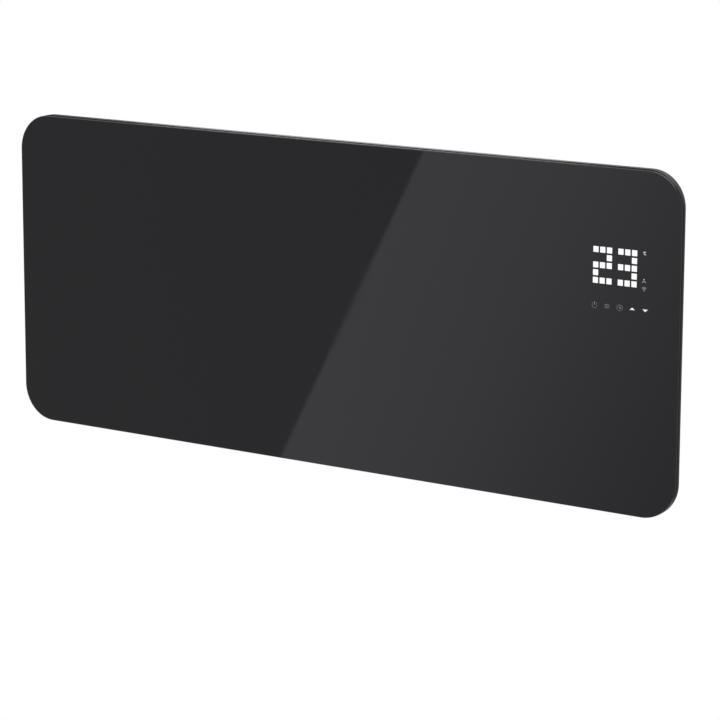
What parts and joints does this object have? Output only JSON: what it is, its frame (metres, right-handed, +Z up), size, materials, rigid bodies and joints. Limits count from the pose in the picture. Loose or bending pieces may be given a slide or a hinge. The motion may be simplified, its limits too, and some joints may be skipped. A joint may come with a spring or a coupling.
{
  "type": "glass panel heater",
  "caption": "Wall-hung convector heater with a rounded black glass front, lit number display, touch keys, louvred steel back and hook-on wall bracket.",
  "frame": {"origin": "centre of the wall bracket's back face, on the wall", "axes": "+X to the right as seen from the front, +Y into the wall, +Z up"},
  "size_m": [0.9, 0.084, 0.3714],
  "materials": {
    "black_glass": "gloss black, printed on the back, polished edge",
    "silicone": "matt black adhesive bead",
    "rim_paint": "satin black powder coat",
    "cover_paint": "fine textured dark powder coat",
    "bracket_paint": "fine textured dark powder coat",
    "zinc_steel": "bright zinc plate",
    "aluminium": "extruded, satin",
    "sheath_steel": "heat-toned steel",
    "ceramic": "unglazed white",
    "black_plastic": "fine matt",
    "rocker_plastic": "satin black",
    "white_plastic": "flame-retardant natural white",
    "board_green": "solder mask",
    "black_part": "moulded",
    "blue_part": "moulded",
    "foam_pad": "conductive foam",
    "red_wire": "silicone insulation",
    "white_wire": "silicone insulation",
    "earth_wire": "green and yellow insulation"
  },
  "bodies": {
    "wall_bracket": {"wall_bracket": "bracket_paint"},
    "heater": {"glass_panel": "black_glass", "bonding_bead": "silicone", "front_tray": "rim_paint", "rear_cover": "cover_paint", "outlet_grille": "black_plastic", "heat_shield": "zinc_steel", "element_carrier_left": "zinc_steel", "element_carrier_right": "zinc_steel", "thermal_cutout": "black_part", "thermal_fuse": "white_plastic", "sensor_clip": "white_plastic", "temperature_sensor": "black_part", "control_box": "white_plastic", "control_box_lid": "white_plastic", "power_board": "board_green", "relay_lower": "blue_part", "relay_upper": "blue_part", "filter_capacitor": "black_part", "wireless_module": "zinc_steel", "terminal_block": "white_plastic", "display_holder": "black_plastic", "display_board": "board_green", "light_grid": "white_plastic", "switch_housing": "black_plastic", "cord_gland": "black_plastic", "gland_nut": "black_plastic", "earth_screw": "zinc_steel", "wire_earth": "earth_wire", "display_cable": "black_plastic", "wire_left_link": "white_wire", "wire_return": "white_wire", "wire_cutout_to_fuse": "white_wire", "wire_fuse_to_box": "white_wire", "wire_switch_in": "red_wire", "wire_switch_out": "red_wire", "fin_profile_lower": "aluminium", "heating_rod_lower": "sheath_steel", "wire_element_lower": "red_wire", "insulator_lower_left": "ceramic", "insulator_lower_right": "ceramic", "fin_profile_upper": "aluminium", "heating_rod_upper": "sheath_steel", "wire_element_upper": "red_wire", "insulator_upper_left": "ceramic", "insulator_upper_right": "ceramic", "touch_pad_power": "foam_pad", "touch_pad_mode": "foam_pad", "touch_pad_timer": "foam_pad", "touch_pad_up": "foam_pad", "touch_pad_down": "foam_pad", "cover_screw_1": "zinc_steel", "cover_screw_2": "zinc_steel", "cover_screw_3": "zinc_steel", "cover_screw_4": "zinc_steel", "cover_screw_5": "zinc_steel", "cover_screw_6": "zinc_steel"},
    "rocker": {"switch_rocker": "rocker_plastic"}
  },
  "joints": [
    {"name": "lift_off", "type": "slide", "parent": "wall_bracket", "child": "heater", "axis": [0, 0, 1], "range_m": [0, 0.012]},
    {"name": "rocker_pivot", "type": "hinge", "parent": "heater", "child": "rocker", "pos_m": [0.3905, -0.0426, 0.06], "axis": [0, 1, 0], "range_deg": [0, 16]}
  ]
}
